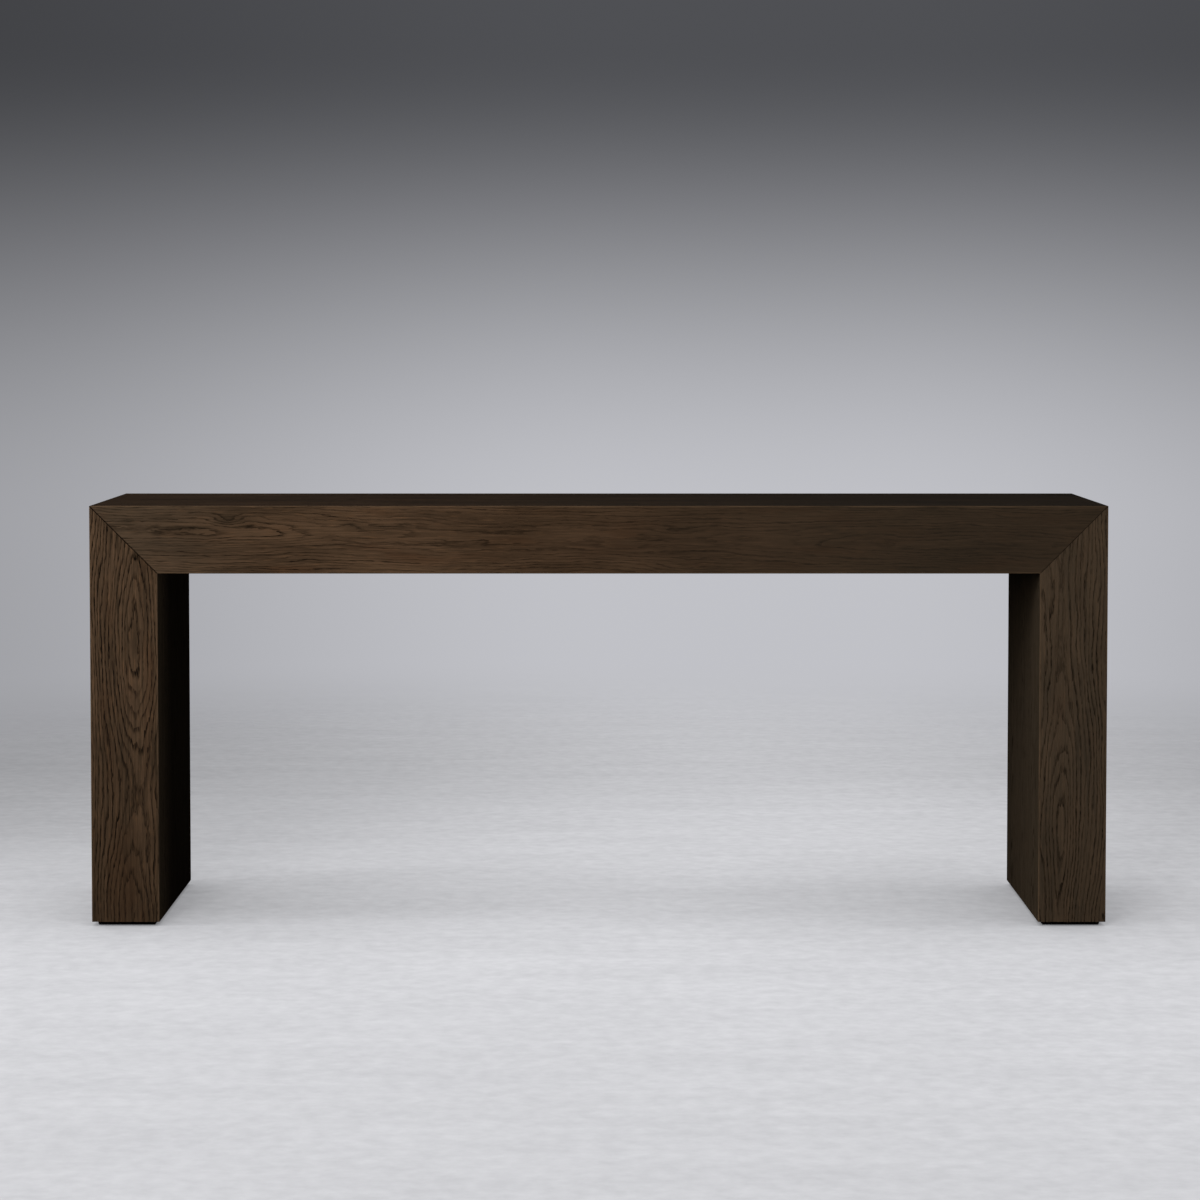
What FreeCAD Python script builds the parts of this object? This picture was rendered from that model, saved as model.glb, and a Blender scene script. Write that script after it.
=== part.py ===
# Waterfall hallway table: a top and two legs of the same thick section, joined at two mitred corners.
#
# The top and the legs look solid, but each is a hollow box of four oak-veneered boards folded round a
# softwood and plywood frame. At each corner the boards meet on a mitre with loose tongues, and behind it
# two plywood bulkheads are dowelled and bolted face to face. A black plinth lifts each leg off the floor.
#
# The table is long in X and deep in Y, its front faces -Y, and it stands on z = 0. The origin is on the
# floor under the middle of the top. All sizes are in millimetres.
import FreeCAD
import Part
import math
import os
from FreeCAD import Vector

# Overall sizes
table_length = 1800.0
table_depth = 400.0
table_height = 748.0
top_thickness = 120.0
leg_thickness = 120.0

# Veneered boards of the box sections
board_thickness = 18.0
arris_radius = 1.5
mitre_ease = 0.6

# Frame inside the box sections
bulkhead_thickness = 18.0
base_board_thickness = 18.0
rib_thickness = 15.0
top_rib_count = 5
leg_rib_count = 2
batten_size = 22.0
notch_clearance = 0.3

# Loose tongues across the corner mitres
tongue_thickness = 4.0
tongue_width = 16.0
tongue_setback = 8.0
tongue_end_margin = 10.0
glue_gap = 0.5

# Dowels, bolts, washers and tee nuts through each pair of bulkheads
bolts_per_corner = 2
dowel_edge_distance = 17.0
dowel_diameter = 10.0
dowel_length = 30.0
dowel_chamfer = 1.0
bolt_diameter = 8.0
bolt_head_flats = 13.0
bolt_head_height = 5.3
bolt_projection = 4.0
bolt_hole_clearance = 0.5
washer_size = 24.0
washer_thickness = 2.0
tee_nut_flange_diameter = 22.0
tee_nut_flange_thickness = 1.5
tee_nut_barrel_diameter = 10.0
tee_nut_barrel_length = 11.0
round_fit_clearance = 0.1

# Foot under each leg
plinth_thickness = 6.0
plinth_side_inset = 9.0
plinth_front_inset = 14.0
plinth_chamfer = 0.8
felt_thickness = 2.0
felt_inset = 1.0
screw_diameter = 4.0
screw_length = 20.0
screw_head_diameter = 8.0
screw_head_height = 2.2
screw_point_length = 4.0
screw_tip_diameter = 1.0
screws_per_plinth = 2

# Places worked out from the sizes above
half_length = table_length / 2
half_depth = table_depth / 2
leg_bottom = plinth_thickness + felt_thickness
soffit_z = table_height - top_thickness
leg_middle_x = leg_thickness / 2 - half_length
cavity_half_depth = half_depth - board_thickness
cavity_top = table_height - board_thickness
cavity_bottom = soffit_z + board_thickness
leg_cavity_left = board_thickness - half_length
leg_cavity_right = leg_thickness - board_thickness - half_length
base_board_top = leg_bottom + base_board_thickness

# The left mitre runs from the outer corner of the table down to the inner corner of the opening.
# Its normal points out of the leg and into the top. The right-hand side is a mirror image.
mitre_run = math.hypot(leg_thickness, top_thickness)
mitre_normal = Vector(top_thickness, 0, leg_thickness) / mitre_run
mitre_along = Vector(leg_thickness, 0, -top_thickness) / mitre_run
outer_corner = Vector(-half_length, 0, table_height)
mitre_middle = outer_corner + mitre_along * (mitre_run / 2)
cutter_reach = top_thickness + leg_thickness


def mitre_x(z, set_back=0.0):
    """X of the left mitre plane at height z, with the plane moved set_back into the top."""
    return (set_back * mitre_run - leg_thickness * (z - table_height)) / top_thickness - half_length


def mitre_z(x, set_back=0.0):
    """Height of the left mitre plane at x, with the plane moved set_back into the leg."""
    return table_height - (set_back * mitre_run + top_thickness * (x + half_length)) / leg_thickness


def mirrored(shape):
    """The right-hand twin of a left-hand shape."""
    return shape.mirror(Vector(0, 0, 0), Vector(1, 0, 0))


def polygon_prism(corners, run):
    """A prism on a flat outline of corner points, extruded by the vector run."""
    outline = Part.makePolygon([*corners, corners[0]])
    return Part.Face(outline).extrude(run)


def prism_across(outline, y_start, y_end):
    """A prism along Y on an outline of (x, z) points."""
    return polygon_prism([Vector(x, y_start, z) for x, z in outline], Vector(0, y_end - y_start, 0))


def block(low, high):
    """A box between two opposite corners, each (x, y, z)."""
    size = [b - a for a, b in zip(low, high)]
    return Part.makeBox(*size, Vector(*low))


def turned(profile):
    """A solid of revolution about Z on an outline of (radius, height) points."""
    points = [Vector(radius, 0, height) for radius, height in profile]
    face = Part.Face(Part.makePolygon([*points, points[0]]))
    return face.revolve(Vector(0, 0, 0), Vector(0, 0, 1), 360)


def in_joint(shape, y=0.0):
    """Moves a piece from joint axes to the left corner: its Z along the mitre normal, its X down the mitre."""
    turn = FreeCAD.Rotation(mitre_along, Vector(0, 1, 0), mitre_normal, "ZXY")
    placed = shape.copy()
    placed.Placement = FreeCAD.Placement(mitre_middle + Vector(0, y, 0), turn)
    return placed


def spread(count, pitch):
    """Places of a row of count things, a pitch apart and centred on zero."""
    return [(i - (count - 1) / 2) * pitch for i in range(count)]


def top_prism(z_low, z_high, y_low, y_high, set_back):
    """A piece of the top's frame that ends on both mitres, each set back into the top."""
    low_end, high_end = mitre_x(z_low, set_back), mitre_x(z_high, set_back)
    outline = [(low_end, z_low), (-low_end, z_low), (-high_end, z_high), (high_end, z_high)]
    return prism_across(outline, y_low, y_high)


def leg_prism(x_low, x_high, y_low, y_high, set_back):
    """A piece of the left leg's frame from its base board up to the mitre, set back into the leg."""
    outline = [
        (x_low, base_board_top),
        (x_high, base_board_top),
        (x_high, mitre_z(x_high, set_back)),
        (x_low, mitre_z(x_low, set_back)),
    ]
    return prism_across(outline, y_low, y_high)


def wall_board(face_middle, run, facing, width):
    """A board with both long edges mitred and half of each rounded arris.

    face_middle is the middle of the outer face at the board's start, run its length along the grain and
    facing the outward normal. The arris is a quarter round shared with the board round the corner.
    """
    across = Vector(run).normalize().cross(facing)

    def at(u, depth):
        return face_middle + across * u - facing * depth

    half = width / 2
    flat = half - arris_radius
    middle_turn, end_turn = math.pi / 8, math.pi / 4

    def on_round(side, turn):
        return at(side * (flat + arris_radius * math.sin(turn)), arris_radius * (1 - math.cos(turn)))

    inner = half - board_thickness
    outline = [
        Part.LineSegment(at(-flat, 0), at(flat, 0)),
        Part.Arc(at(flat, 0), on_round(1, middle_turn), on_round(1, end_turn)),
        Part.LineSegment(on_round(1, end_turn), at(inner, board_thickness)),
        Part.LineSegment(at(inner, board_thickness), at(-inner, board_thickness)),
        Part.LineSegment(at(-inner, board_thickness), on_round(-1, end_turn)),
        Part.Arc(on_round(-1, end_turn), on_round(-1, middle_turn), at(-flat, 0)),
    ]
    return Part.Face(Part.Wire([edge.toShape() for edge in outline])).extrude(run)


def mitre_waste(towards):
    """Everything beyond the left mitre on one side: +1 is the top's side and -1 the leg's."""
    start = outer_corner - mitre_along * cutter_reach
    end = outer_corner + mitre_along * (mitre_run + cutter_reach)
    away = mitre_normal * (towards * cutter_reach)
    outline = [(p.x, p.z) for p in (start, end, end + away, start + away)]
    return prism_across(outline, -half_depth - cutter_reach, half_depth + cutter_reach)


def corner_round_cutter():
    """What the rounded arris takes off the left outer corner, across the depth of the table."""
    x, z = outer_corner.x, outer_corner.z
    middle = arris_radius * (1 - math.sqrt(0.5))
    clear = arris_radius

    def at(right, down):
        return Vector(x + right, -half_depth - clear, z - down)

    corners = [at(arris_radius, 0), at(arris_radius, -clear), at(-clear, -clear), at(-clear, arris_radius)]
    corners.append(at(0, arris_radius))
    edges = [Part.LineSegment(a, b).toShape() for a, b in zip(corners, corners[1:])]
    edges.append(Part.Arc(corners[-1], at(middle, middle), corners[0]).toShape())
    return Part.Face(Part.Wire(edges)).extrude(Vector(0, table_depth + 2 * clear, 0))


def mitre_ease_cutter():
    """The fine V along the left mitre on the front face and on the back face."""
    start = -mitre_run / 2 - mitre_ease
    run = Vector(mitre_run + 2 * mitre_ease, 0, 0)
    grooves = []
    for side in (-1, 1):
        outside = side * (half_depth + mitre_ease)
        bottom = side * (half_depth - mitre_ease)
        outline = [
            Vector(start, outside, -2 * mitre_ease),
            Vector(start, outside, 2 * mitre_ease),
            Vector(start, bottom, 0),
        ]
        grooves.append(in_joint(polygon_prism(outline, run)))
    return Part.makeCompound(grooves)


def mitre_tongues(gap):
    """The four loose tongues of the left corner in joint axes, or their grooves when gap is not zero."""
    half_width = tongue_width / 2 + gap
    half_thickness = tongue_thickness / 2
    board_share = min(board_thickness / top_thickness, board_thickness / leg_thickness) * mitre_run

    cross_half_length = cavity_half_depth - tongue_end_margin + gap
    tongues = []
    for x in (board_share - tongue_setback - mitre_run / 2, mitre_run / 2 - tongue_setback):
        low = (x - half_thickness, -cross_half_length, -half_width)
        high = (x + half_thickness, cross_half_length, half_width)
        tongues.append(in_joint(block(low, high)))

    slope_half_length = mitre_run / 2 - board_share - tongue_end_margin + gap
    for side in (-1, 1):
        y = side * (half_depth - board_thickness / 2)
        low = (-slope_half_length, y - half_thickness, -half_width)
        high = (slope_half_length, y + half_thickness, half_width)
        tongues.append(in_joint(block(low, high)))
    return Part.makeCompound(tongues)


def make_boards():
    """The four boards of the top and the four of the left leg, with mitred ends and tongue grooves."""
    easing = mitre_ease_cutter()
    rounding = corner_round_cutter()
    grooves = mitre_tongues(glue_gap)
    across = Vector(table_length, 0, 0)
    upward = Vector(0, 0, table_height - leg_bottom)
    top_middle_z = table_height - top_thickness / 2
    leg_inner_x = leg_thickness - half_length

    front, back = Vector(0, -1, 0), Vector(0, 1, 0)
    up, down = Vector(0, 0, 1), Vector(0, 0, -1)
    outward, inward = Vector(-1, 0, 0), Vector(1, 0, 0)

    top = {
        "top_panel": wall_board(Vector(-half_length, 0, table_height), across, up, table_depth),
        "top_soffit_panel": wall_board(Vector(-half_length, 0, soffit_z), across, down, table_depth),
        "top_front_panel": wall_board(
            Vector(-half_length, -half_depth, top_middle_z), across, front, top_thickness
        ),
        "top_back_panel": wall_board(
            Vector(-half_length, half_depth, top_middle_z), across, back, top_thickness
        ),
    }
    leg = {
        "leg_outer_panel": wall_board(Vector(-half_length, 0, leg_bottom), upward, outward, table_depth),
        "leg_inner_panel": wall_board(Vector(leg_inner_x, 0, leg_bottom), upward, inward, table_depth),
        "leg_front_panel": wall_board(
            Vector(leg_middle_x, -half_depth, leg_bottom), upward, front, leg_thickness
        ),
        "leg_back_panel": wall_board(
            Vector(leg_middle_x, half_depth, leg_bottom), upward, back, leg_thickness
        ),
    }

    left_cut = [mitre_waste(-1), rounding, grooves, easing]
    both_cuts = left_cut + [mirrored(tool) for tool in left_cut]
    top = {name: board.cut(both_cuts) for name, board in top.items()}
    leg_cut = [mitre_waste(1), rounding, grooves, easing]
    leg = {name: board.cut(leg_cut) for name, board in leg.items()}
    return top, leg


def joint_rows():
    """Places across the depth of the bolts, and of the two dowels outside them."""
    dowel_reach = cavity_half_depth - dowel_edge_distance
    return spread(bolts_per_corner, 2 * dowel_reach / bolts_per_corner), [-dowel_reach, dowel_reach]


def joint_holes():
    """Holes for the left corner's bolts, tee nuts and dowels."""
    bolt_rows, dowel_rows = joint_rows()
    bolt_hole_radius = bolt_diameter / 2 + bolt_hole_clearance
    barrel_hole_radius = tee_nut_barrel_diameter / 2 + round_fit_clearance
    dowel_hole_radius = dowel_diameter / 2 + round_fit_clearance
    dowel_hole_reach = dowel_length / 2 + glue_gap
    past_bulkhead = 2 * bulkhead_thickness
    bolt_hole = turned(
        [
            (0, -past_bulkhead),
            (barrel_hole_radius, -past_bulkhead),
            (barrel_hole_radius, 0),
            (bolt_hole_radius, 0),
            (bolt_hole_radius, past_bulkhead),
            (0, past_bulkhead),
        ]
    )
    dowel_hole = turned(
        [
            (0, -dowel_hole_reach),
            (dowel_hole_radius, -dowel_hole_reach),
            (dowel_hole_radius, dowel_hole_reach),
            (0, dowel_hole_reach),
        ]
    )
    return [in_joint(bolt_hole, y) for y in bolt_rows] + [in_joint(dowel_hole, y) for y in dowel_rows]


def make_bulkheads():
    """The pair of slanting bulkheads behind the left mitre: one closes the top and one the leg."""
    top_outline = [
        (mitre_x(cavity_bottom), cavity_bottom),
        (mitre_x(cavity_bottom, bulkhead_thickness), cavity_bottom),
        (mitre_x(cavity_top, bulkhead_thickness), cavity_top),
        (mitre_x(cavity_top), cavity_top),
    ]
    leg_outline = [
        (leg_cavity_left, mitre_z(leg_cavity_left)),
        (leg_cavity_right, mitre_z(leg_cavity_right)),
        (leg_cavity_right, mitre_z(leg_cavity_right, bulkhead_thickness)),
        (leg_cavity_left, mitre_z(leg_cavity_left, bulkhead_thickness)),
    ]
    holes = joint_holes()
    return [
        prism_across(outline, -cavity_half_depth, cavity_half_depth).cut(holes)
        for outline in (top_outline, leg_outline)
    ]


def make_top_frame():
    """Corner battens along the top from bulkhead to bulkhead, and ribs notched over them."""

    def battens(size):
        pieces = []
        for z_low, z_high in ((cavity_bottom, cavity_bottom + size), (cavity_top - size, cavity_top)):
            for y_low, y_high in (
                (-cavity_half_depth, size - cavity_half_depth),
                (cavity_half_depth - size, cavity_half_depth),
            ):
                pieces.append(top_prism(z_low, z_high, y_low, y_high, bulkhead_thickness))
        return pieces

    notches = battens(batten_size + notch_clearance)
    clear_length = -2 * mitre_x(cavity_bottom, bulkhead_thickness)
    ribs = []
    for x in spread(top_rib_count, clear_length / (top_rib_count + 1)):
        low = (x - rib_thickness / 2, -cavity_half_depth, cavity_bottom)
        high = (x + rib_thickness / 2, cavity_half_depth, cavity_top)
        ribs.append(block(low, high).cut(notches))
    return Part.makeCompound(battens(batten_size)), Part.makeCompound(ribs)


def make_leg_frame():
    """Base board, corner battens and notched ribs of the left leg."""

    def battens(size):
        pieces = []
        for x_low, x_high in (
            (leg_cavity_left, leg_cavity_left + size),
            (leg_cavity_right - size, leg_cavity_right),
        ):
            for y_low, y_high in (
                (-cavity_half_depth, size - cavity_half_depth),
                (cavity_half_depth - size, cavity_half_depth),
            ):
                pieces.append(leg_prism(x_low, x_high, y_low, y_high, bulkhead_thickness))
        return pieces

    notches = battens(batten_size + notch_clearance)
    clear_height = mitre_z(leg_cavity_right, bulkhead_thickness) - base_board_top
    clear_middle = base_board_top + clear_height / 2
    ribs = []
    for rise in spread(leg_rib_count, clear_height / (leg_rib_count + 1)):
        z = clear_middle + rise
        low = (leg_cavity_left, -cavity_half_depth, z - rib_thickness / 2)
        high = (leg_cavity_right, cavity_half_depth, z + rib_thickness / 2)
        ribs.append(block(low, high).cut(notches))

    base_board = block(
        (leg_cavity_left, -cavity_half_depth, leg_bottom),
        (leg_cavity_right, cavity_half_depth, base_board_top),
    )
    return base_board, Part.makeCompound(battens(batten_size)), Part.makeCompound(ribs)


def make_corner_fasteners():
    """Dowels, bolts, washers and tee nuts of the left corner, as groups of solids."""
    bolt_rows, dowel_rows = joint_rows()
    dowel_end, dowel_radius = dowel_length / 2, dowel_diameter / 2
    dowel = turned(
        [
            (0, -dowel_end),
            (dowel_radius - dowel_chamfer, -dowel_end),
            (dowel_radius, dowel_chamfer - dowel_end),
            (dowel_radius, dowel_end - dowel_chamfer),
            (dowel_radius - dowel_chamfer, dowel_end),
            (0, dowel_end),
        ]
    )

    washer_bottom = bulkhead_thickness
    head_bottom = washer_bottom + washer_thickness
    bore_radius = bolt_diameter / 2 + round_fit_clearance
    washer_edge = washer_size / 2
    washer_low = (-washer_edge, -washer_edge, washer_bottom)
    washer_high = (washer_edge, washer_edge, head_bottom)
    washer_bore = Part.makeCylinder(bore_radius, washer_thickness, Vector(0, 0, washer_bottom))
    washer = block(washer_low, washer_high).cut(washer_bore)

    flange_top = -bulkhead_thickness
    flange_bottom = flange_top - tee_nut_flange_thickness
    flange_radius, barrel_radius = tee_nut_flange_diameter / 2, tee_nut_barrel_diameter / 2
    barrel_top = flange_top + tee_nut_barrel_length
    tee_nut = turned(
        [
            (bore_radius, flange_bottom),
            (flange_radius, flange_bottom),
            (flange_radius, flange_top),
            (barrel_radius, flange_top),
            (barrel_radius, barrel_top),
            (bore_radius, barrel_top),
        ]
    )

    head_corner = bolt_head_flats / math.sqrt(3)
    hexagon = [
        Vector(head_corner * math.cos(i * math.pi / 3), head_corner * math.sin(i * math.pi / 3), head_bottom)
        for i in range(6)
    ]
    head = polygon_prism(hexagon, Vector(0, 0, bolt_head_height))
    shank_end = flange_bottom - bolt_projection
    shank = Part.makeCylinder(bolt_diameter / 2, head_bottom - shank_end, Vector(0, 0, shank_end))
    bolt = head.fuse(shank).removeSplitter()

    def row(piece, places):
        return Part.makeCompound([in_joint(piece, y) for y in places])

    return {
        "corner_dowels": row(dowel, dowel_rows),
        "corner_bolts": row(bolt, bolt_rows),
        "corner_washers": row(washer, bolt_rows),
        "corner_tee_nuts": row(tee_nut, bolt_rows),
    }


def countersunk_screw():
    """A wood screw that points up from z = 0."""
    head, shank, tip = screw_head_diameter / 2, screw_diameter / 2, screw_tip_diameter / 2
    point_start = screw_length - screw_point_length
    return turned(
        [
            (0, 0),
            (head, 0),
            (shank, screw_head_height),
            (shank, point_start),
            (tip, screw_length),
            (0, screw_length),
        ]
    )


def countersunk_hole():
    """The countersink and straight pilot hole of one screw, from z = 0 up."""
    head = screw_head_diameter / 2 + round_fit_clearance
    shank = screw_diameter / 2 + round_fit_clearance
    end = screw_length + glue_gap
    return turned([(0, 0), (head, 0), (shank, screw_head_height), (shank, end), (0, end)])


def make_foot(base_board):
    """Plinth, felt and screws under the left leg, and the base board with its pilot holes."""
    plinth_half_width = leg_thickness / 2 - plinth_side_inset
    plinth_half_length = half_depth - plinth_front_inset

    def slab(inset, z_low, z_high):
        half_width, half_length_y = plinth_half_width - inset, plinth_half_length - inset
        low = (leg_middle_x - half_width, -half_length_y, z_low)
        high = (leg_middle_x + half_width, half_length_y, z_high)
        return block(low, high)

    plinth = slab(0, felt_thickness, leg_bottom)
    upright = [e for e in plinth.Edges if abs(e.tangentAt(e.FirstParameter).z) > 0.9]
    plinth = plinth.makeChamfer(plinth_chamfer, upright)
    felt = slab(felt_inset, 0, felt_thickness)

    def row(piece):
        places = spread(screws_per_plinth, 2 * plinth_half_length / screws_per_plinth)
        return [piece.translated(Vector(leg_middle_x, y, felt_thickness)) for y in places]

    holes = row(countersunk_hole())
    return {
        "leg_base_board": base_board.cut(holes),
        "foot_plinth": plinth.cut(holes),
        "foot_felt": felt,
        "plinth_screws": Part.makeCompound(row(countersunk_screw())),
    }


def make_table():
    """Every sub-part by its name. The right-hand side mirrors the left."""
    parts, left = make_boards()
    top_bulkhead, left["leg_bulkhead"] = make_bulkheads()
    parts["top_left_bulkhead"] = top_bulkhead
    parts["top_right_bulkhead"] = mirrored(top_bulkhead)
    parts["top_corner_battens"], parts["top_ribs"] = make_top_frame()

    base_board, left["leg_corner_battens"], left["leg_ribs"] = make_leg_frame()
    left.update(make_foot(base_board))
    left["mitre_tongues"] = mitre_tongues(0.0)
    left.update(make_corner_fasteners())
    for name, shape in left.items():
        parts["left_" + name] = shape
        parts["right_" + name] = mirrored(shape)
    return parts


os.makedirs("parts", exist_ok=True)
for name, shape in make_table().items():
    shape.exportStep(f"parts/{name}.step")
    print(f"{name}: {len(shape.Solids)} solids, valid {shape.isValid()}, {shape.Volume / 1000:.1f} cm3")
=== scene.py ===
"""Looks of the waterfall hallway table: smoked oak veneer on mitred box sections, standing on black feet.

Boards and their grain are measured in millimetres, the studio in metres.
"""
import math
from dataclasses import dataclass

import bpy
from mathutils import Color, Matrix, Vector


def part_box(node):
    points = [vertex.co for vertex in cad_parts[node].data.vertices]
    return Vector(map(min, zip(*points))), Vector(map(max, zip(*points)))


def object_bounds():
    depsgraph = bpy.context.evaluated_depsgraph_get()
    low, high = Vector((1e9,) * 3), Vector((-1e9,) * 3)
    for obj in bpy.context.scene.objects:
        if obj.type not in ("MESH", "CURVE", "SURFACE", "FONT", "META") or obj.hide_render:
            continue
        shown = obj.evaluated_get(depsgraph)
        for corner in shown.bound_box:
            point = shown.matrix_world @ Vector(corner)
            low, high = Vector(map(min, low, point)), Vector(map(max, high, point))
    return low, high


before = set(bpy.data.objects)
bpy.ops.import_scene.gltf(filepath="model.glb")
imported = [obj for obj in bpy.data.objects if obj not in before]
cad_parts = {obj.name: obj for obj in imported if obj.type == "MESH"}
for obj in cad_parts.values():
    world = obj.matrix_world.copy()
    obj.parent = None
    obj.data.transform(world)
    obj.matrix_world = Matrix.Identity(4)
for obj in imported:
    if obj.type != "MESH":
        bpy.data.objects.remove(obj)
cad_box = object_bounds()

# Sizes of the table, in millimetres

MM_PER_M = 1000.0


def in_mm(corners):
    """Corners of a box given in metres."""
    return [corner * MM_PER_M for corner in corners]


table_low, table_high = in_mm(cad_box)
beam_low, beam_high = in_mm(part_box("top_front_panel"))
leg_low, leg_high = in_mm(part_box("left_leg_front_panel"))

table_top = table_high.z
table_half = table_high.x
table_depth = table_high.y - table_low.y
section = beam_high.z - beam_low.z
beam_middle = (beam_high.z + beam_low.z) / 2
leg_middle = (leg_high.x + leg_low.x) / 2
soffit_half = table_half - section
soffit_height = table_top - section

# Shader writing

DISPLAY_WHITE = 255.0
OPENNESS_SAMPLES = 16
MIX_SHARE_IN = 0
MIX_FIRST_COLOUR_IN = 6
MIX_SECOND_COLOUR_IN = 7
MIX_COLOUR_OUT = 2


def display_colour(red, green, blue):
    """Linear RGBA of a colour given as it shows on a display, 0 to 255."""
    shown = Color((red / DISPLAY_WHITE, green / DISPLAY_WHITE, blue / DISPLAY_WHITE))
    return (*shown.from_srgb_to_scene_linear(), 1.0)


class Term:
    """A node's output that takes part in arithmetic."""

    def __init__(self, graph, socket):
        self.graph = graph
        self.socket = socket

    def __add__(self, other):
        return self.graph.math("ADD", self, other)

    def __radd__(self, other):
        return self.graph.math("ADD", other, self)

    def __sub__(self, other):
        return self.graph.math("SUBTRACT", self, other)

    def __rsub__(self, other):
        return self.graph.math("SUBTRACT", other, self)

    def __mul__(self, other):
        return self.graph.math("MULTIPLY", self, other)

    def __truediv__(self, other):
        return self.graph.math("DIVIDE", self, other)


@dataclass
class Spot:
    """A point on a surface, along and across its grain; the third value sets its noise apart."""

    along: Term | float
    across: Term | float
    third: Term | float = 0.0


@dataclass
class Lumps:
    """Soft noise whose lumps have a size across and along the grain.

    Where it makes patches, they start to show at one value of the noise and are full at another.
    """

    across: float
    along: float
    offset: float = 0.0
    detail: float = 2.0
    roughness: float = 0.5
    strength: float = 1.0
    starts: float = 0.0
    full: float = 1.0


class Graph:
    """A shader node tree written as formulas."""

    def __init__(self, tree):
        self.tree = tree
        self.tree.nodes.clear()

    def node(self, kind, **settings):
        made = self.tree.nodes.new("ShaderNode" + kind)
        for name, value in settings.items():
            setattr(made, name, value)
        return made

    def feed(self, socket, value):
        if isinstance(value, Term):
            self.tree.links.new(value.socket, socket)
        else:
            socket.default_value = value

    def math(self, operation, *values, clamp=False):
        made = self.node("Math", operation=operation, use_clamp=clamp)
        for socket, value in zip(made.inputs, values):
            self.feed(socket, value)
        return Term(self, made.outputs[0])

    def clamp(self, value):
        return self.math("ADD", value, 0.0, clamp=True)

    def share(self, value):
        """Share between 0 and 1 from a value that lies round 0."""
        return self.math("ADD", value, 0.5, clamp=True)

    def absolute(self, value):
        return self.math("ABSOLUTE", value)

    def distance(self, first, second):
        """Length of a line that runs this far in two directions at right angles."""
        return self.math("SQRT", first * first + second * second)

    def fade(self, value, start, end, low=0.0, high=1.0):
        """Rises smoothly from low at start to high at end; start may be the larger."""
        made = self.node("MapRange", interpolation_type="SMOOTHSTEP")
        for socket, given in zip(made.inputs, (value, start, end, low, high)):
            self.feed(socket, given)
        return Term(self, made.outputs[0])

    def vector(self, x, y, z):
        made = self.node("CombineXYZ")
        for socket, value in zip(made.inputs, (x, y, z)):
            self.feed(socket, value)
        return Term(self, made.outputs[0])

    def parts(self, vector):
        made = self.node("SeparateXYZ")
        self.feed(made.inputs[0], vector)
        return [Term(self, socket) for socket in made.outputs]

    def place(self):
        """X, Y and Z of the surface in the table's frame, in metres."""
        coordinates = self.node("TexCoord")
        return self.parts(Term(self, coordinates.outputs["Object"]))

    def place_in_mm(self):
        return [value * MM_PER_M for value in self.place()]

    def noise(self, lumps, spot):
        """Noise between plus and minus the strength of the lumps."""
        made = self.node("TexNoise")
        across = spot.across / lumps.across
        along = spot.along / lumps.along
        self.feed(made.inputs["Vector"], self.vector(across, along, spot.third + lumps.offset))
        made.inputs["Scale"].default_value = 1.0
        made.inputs["Detail"].default_value = lumps.detail
        made.inputs["Roughness"].default_value = lumps.roughness
        return (Term(self, made.outputs["Fac"]) - 0.5) * (2.0 * lumps.strength)

    def patches(self, lumps, spot, least=0.0, most=1.0):
        """The least value between the lumps' patches, rising to the most where they are full."""
        return self.fade(self.noise(lumps, spot), lumps.starts, lumps.full, least, most)

    def blend(self, share, first, second):
        made = self.node("Mix", data_type="RGBA")
        self.feed(made.inputs[MIX_SHARE_IN], share)
        self.feed(made.inputs[MIX_FIRST_COLOUR_IN], first)
        self.feed(made.inputs[MIX_SECOND_COLOUR_IN], second)
        return Term(self, made.outputs[MIX_COLOUR_OUT])

    def bump(self, height, depth):
        """Normal of a surface that rises by a depth, in metres, for each 1 of height."""
        made = self.node("Bump")
        made.inputs["Strength"].default_value = 1.0
        made.inputs["Distance"].default_value = depth
        self.feed(made.inputs["Height"], height)
        return Term(self, made.outputs["Normal"])

    def openness(self, reach):
        """Share of the sky that a point sees past whatever stands within reach, in metres."""
        made = self.node("AmbientOcclusion", samples=OPENNESS_SAMPLES)
        made.inputs["Distance"].default_value = reach
        return Term(self, made.outputs["AO"])

    def seen(self):
        """1 on rays that show a surface to the eye: straight, in gloss or through glass."""
        path = self.node("LightPath")
        rays = ("Is Camera Ray", "Is Glossy Ray", "Is Transmission Ray")
        camera, glossy, glass = [Term(self, path.outputs[name]) for name in rays]
        return self.clamp(camera + glossy + glass)

    def join(self, shader, *inputs):
        """Feeds other shaders into a shader, each into the input that is given with it."""
        for socket, other in inputs:
            self.tree.links.new(other.outputs[0], shader.inputs[socket])

    def surface(self, **inputs):
        """Principled surface; a keyword names an input in lower case with underscores."""
        shader = self.node("BsdfPrincipled")
        names = {socket.name.lower().replace(" ", "_"): socket for socket in shader.inputs}
        for name, value in inputs.items():
            self.feed(names[name], value)
        self.join(self.node("OutputMaterial"), ("Surface", shader))


def new_material(name):
    material = bpy.data.materials.new(name)
    material.use_nodes = True
    return material, Graph(material.node_tree)


# Smoked oak veneer

OAK_PALE = display_colour(86, 66, 49)
OAK_DEEP = display_colour(45, 34, 24)
# Painted shade: a brown laid over the front of the top, from its middle towards the right end
OAK_SHADE_BROWN = display_colour(54, 39, 27)
OAK_RED = display_colour(67, 45, 29)
# Painted shade: a grey laid over the front, upper and outer faces, stronger towards the right
OAK_SHADE_GREY = display_colour(37, 35, 29)
# Olive tone of the wood; on the inner boards it is a painted tint of cool bounce light
OAK_OLIVE = display_colour(64, 57, 47)
OAK_GOLD = display_colour(94, 69, 48)
# Pale wood along the edges: partly wear, partly a painted highlight
OAK_WORN_AND_HIGHLIT = display_colour(92, 74, 57)
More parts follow.
